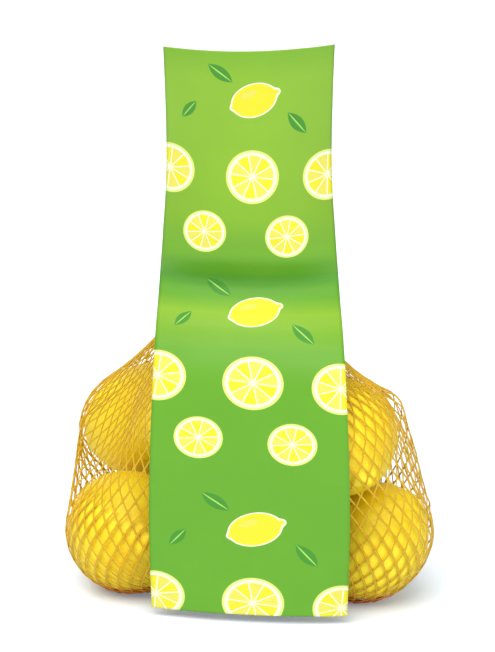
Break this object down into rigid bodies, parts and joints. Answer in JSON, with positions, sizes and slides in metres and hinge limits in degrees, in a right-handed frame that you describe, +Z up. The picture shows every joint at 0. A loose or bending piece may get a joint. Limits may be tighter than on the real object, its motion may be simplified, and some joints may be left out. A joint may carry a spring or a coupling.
{
  "type": "net of lemons",
  "caption": "Net bag filled with lemons, held between a front and a back band of printed film that join above it as a curled header.",
  "frame": {"origin": "on the ground below the middle of the bag", "axes": "+Z up through the header, the printed front faces -Y, +X to the right seen from the front"},
  "size_m": [0.1889, 0.1658, 0.2901],
  "materials": {
    "net": "extruded plastic netting, yellow gold, slightly shiny",
    "film": "printed film, leaf green, soft gloss",
    "lemon": "waxy lemon peel with fine pores"
  },
  "bodies": {
    "root": {"net_bag": "net", "front_band": "film", "back_band": "film"}
  },
  "joints": []
}
